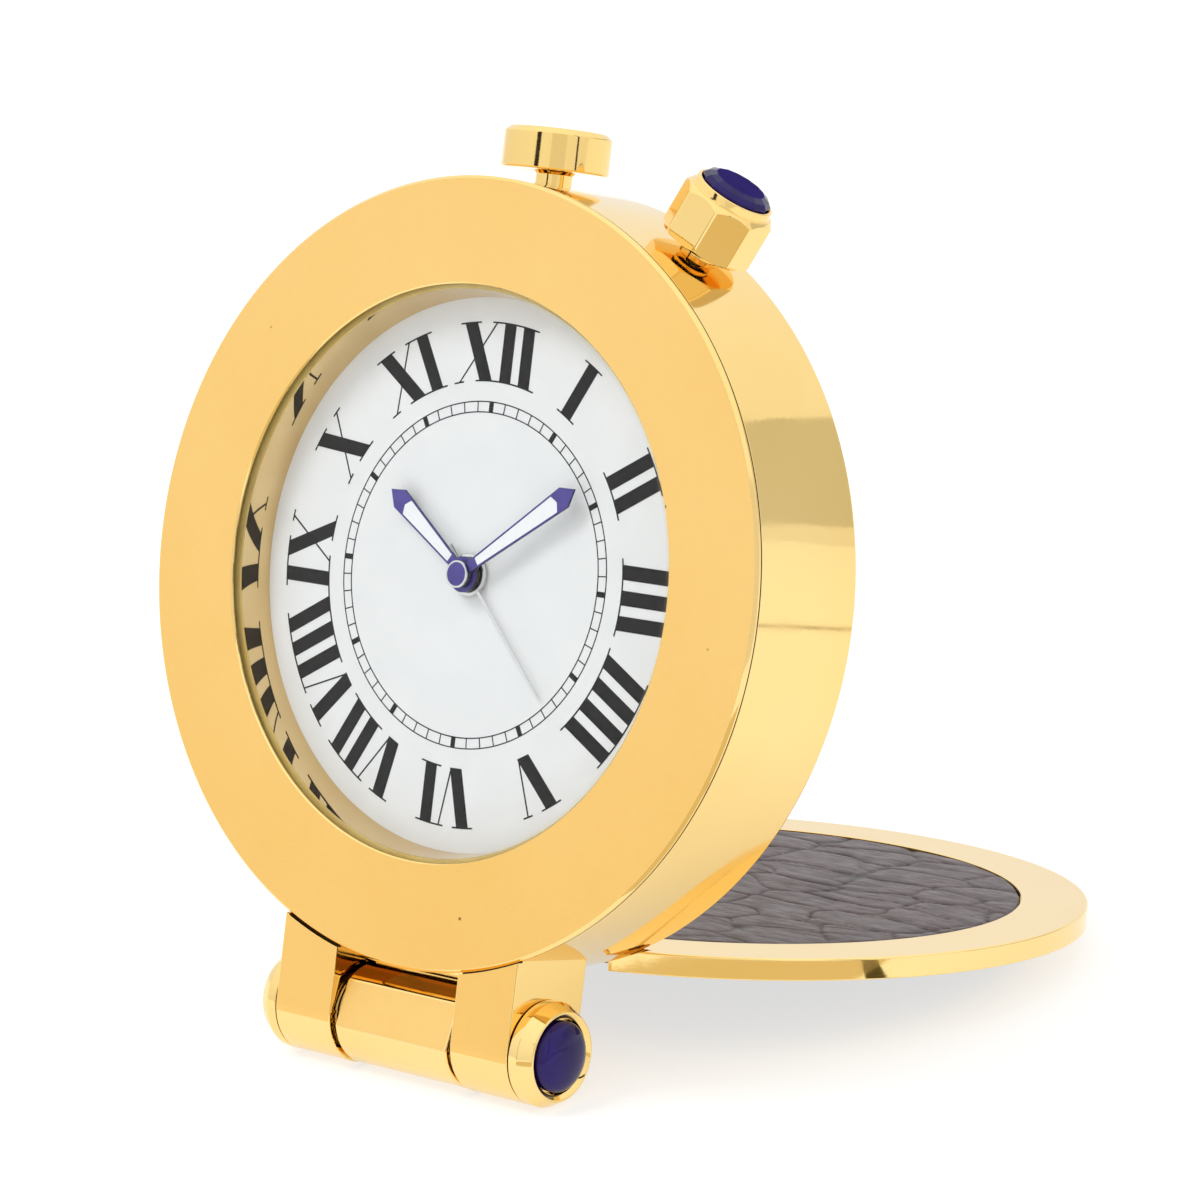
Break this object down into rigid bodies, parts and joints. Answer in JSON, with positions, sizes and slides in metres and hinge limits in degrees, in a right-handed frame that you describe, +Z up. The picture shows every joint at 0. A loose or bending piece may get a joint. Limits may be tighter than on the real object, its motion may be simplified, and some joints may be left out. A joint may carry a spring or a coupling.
{
  "type": "travel alarm clock",
  "caption": "Folding travel alarm clock: round gold case on two lugs, white dial with Roman numerals, hinged leather-faced cover that opens into its stand.",
  "frame": {"origin": "on the table under the middle of the footprint of the clock standing open, halfway between the front of the lugs and the far edge of the cover", "axes": "+X to the right of a person who faces the dial, +Y away from that person towards the cover, +Z up from the table"},
  "size_m": [0.0668, 0.0764, 0.0776],
  "materials": {
    "satin_gold": "gold plated, satin",
    "polished_gold": "gold plated, polished",
    "dial_white": "matt white enamel with printed black numerals",
    "crystal_glass": "clear mineral glass with a polished bevel",
    "blue_steel": "blue-violet lacquer, white inlay",
    "silver": "bright",
    "cabochon_blue": "deep blue-violet synthetic stone, polished",
    "leather_brown": "crocodile grain, glossy",
    "suede_black": "suede",
    "movement_brass": "plain brass",
    "spring_steel": "bright",
    "moulded_plastic": "moulded",
    "black_plastic": "moulded",
    "board_green": "solder mask",
    "copper_wire": "enamelled copper wire",
    "rubber_black": "matt"
  },
  "bodies": {
    "case": {"case_band": "polished_gold", "front_bezel": "satin_gold", "case_back": "satin_gold", "back_gasket": "rubber_black", "case_screw_1": "polished_gold", "case_screw_2": "polished_gold", "case_screw_3": "polished_gold", "case_screw_4": "polished_gold", "crystal": "crystal_glass", "crystal_gasket": "moulded_plastic", "rehaut_ring": "polished_gold", "dial": "dial_white", "movement_ring": "moulded_plastic", "main_plate": "movement_brass", "train_bridge": "spring_steel", "bridge_screw_1": "spring_steel", "bridge_screw_2": "spring_steel", "movement_screw_1": "spring_steel", "movement_screw_2": "spring_steel", "circuit_board": "board_green", "driver_chip": "black_plastic", "quartz_can": "spring_steel", "motor_stator": "spring_steel", "motor_coil": "copper_wire", "battery_cell": "spring_steel", "battery_clip": "spring_steel", "buzzer_disc": "movement_brass", "buzzer_spring": "spring_steel", "crown_tube": "polished_gold", "button_tube": "polished_gold", "button_spring": "spring_steel", "switch_contact": "movement_brass", "hinge_pin": "spring_steel", "hinge_cap_left": "polished_gold", "hinge_cap_right": "polished_gold", "hinge_cabochon_left": "cabochon_blue", "hinge_cabochon_right": "cabochon_blue", "friction_washer_left": "spring_steel", "friction_washer_right": "spring_steel"},
    "cover": {"cover_plate": "polished_gold", "leather_panel": "leather_brown", "cover_lining": "suede_black"},
    "minute_work": {"minute_hand": "blue_steel", "cannon_pinion": "spring_steel", "centre_wheel": "movement_brass"},
    "hour_work": {"hour_hand": "blue_steel", "hour_wheel": "movement_brass"},
    "minute_wheel_work": {"minute_wheel": "movement_brass"},
    "third_wheel_work": {"third_wheel": "movement_brass"},
    "rotor_work": {"rotor": "spring_steel"},
    "alarm_work": {"alarm_hand": "silver", "alarm_wheel": "movement_brass"},
    "alarm_idler_work": {"alarm_idler": "movement_brass"},
    "crown_slide": {"setting_yoke": "spring_steel"},
    "crown_work": {"crown": "polished_gold", "crown_cabochon": "cabochon_blue", "crown_stem": "spring_steel"},
    "button": {"alarm_button": "polished_gold", "button_clip": "spring_steel"}
  },
  "joints": [
    {"name": "cover_hinge", "type": "hinge", "parent": "case", "child": "cover", "pos_m": [0, -0.03383, 0.0044], "axis": [-1, 0, 0], "range_deg": [0, 276.5]},
    {"name": "minute_turn", "type": "hinge", "parent": "case", "child": "minute_work", "pos_m": [0, -0.02173, 0.04046], "axis": [0, 0.9676, -0.2526], "continuous": true},
    {"name": "hour_turn", "type": "hinge", "parent": "case", "child": "hour_work", "pos_m": [0, -0.02173, 0.04046], "axis": [0, 0.9676, -0.2526], "continuous": true},
    {"name": "minute_wheel_turn", "type": "hinge", "parent": "case", "child": "minute_wheel_work", "pos_m": [0.0047, -0.0213, 0.04212], "axis": [0, 0.9676, -0.2526], "continuous": true},
    {"name": "third_wheel_turn", "type": "hinge", "parent": "case", "child": "third_wheel_work", "pos_m": [-0.00526, -0.02222, 0.03861], "axis": [0, 0.9676, -0.2526], "continuous": true},
    {"name": "rotor_turn", "type": "hinge", "parent": "case", "child": "rotor_work", "pos_m": [-0.0069, -0.02336, 0.03424], "axis": [0, 0.9676, -0.2526], "continuous": true},
    {"name": "alarm_turn", "type": "hinge", "parent": "case", "child": "alarm_work", "pos_m": [0, -0.02173, 0.04046], "axis": [0, 0.9676, -0.2526], "continuous": true},
    {"name": "alarm_idler_turn", "type": "hinge", "parent": "case", "child": "alarm_idler_work", "pos_m": [-0.0052, -0.02097, 0.04337], "axis": [0, 0.9676, -0.2526], "continuous": true},
    {"name": "crown_pull", "type": "slide", "parent": "case", "child": "crown_slide", "axis": [0.5, 0.2188, 0.8379], "range_m": [0, 0.0015]},
    {"name": "crown_turn", "type": "hinge", "parent": "crown_slide", "child": "crown_work", "pos_m": [0.015, -0.01372, 0.06522], "axis": [0.5, 0.2188, 0.8379], "continuous": true},
    {"name": "button_press", "type": "slide", "parent": "case", "child": "button", "axis": [0, -0.2526, -0.9676], "range_m": [0, 0.0008], "stiffness_N_per_m": 400, "deforming": ["button_spring"]}
  ],
  "couplings": [
    {"joint": "hour_turn", "follows": "minute_turn", "ratio": 0.083333},
    {"joint": "minute_wheel_turn", "follows": "minute_turn", "ratio": -0.33333},
    {"joint": "third_wheel_turn", "follows": "minute_turn", "ratio": -6},
    {"joint": "rotor_turn", "follows": "minute_turn", "ratio": 30},
    {"joint": "alarm_idler_turn", "follows": "alarm_turn", "ratio": -2}
  ]
}
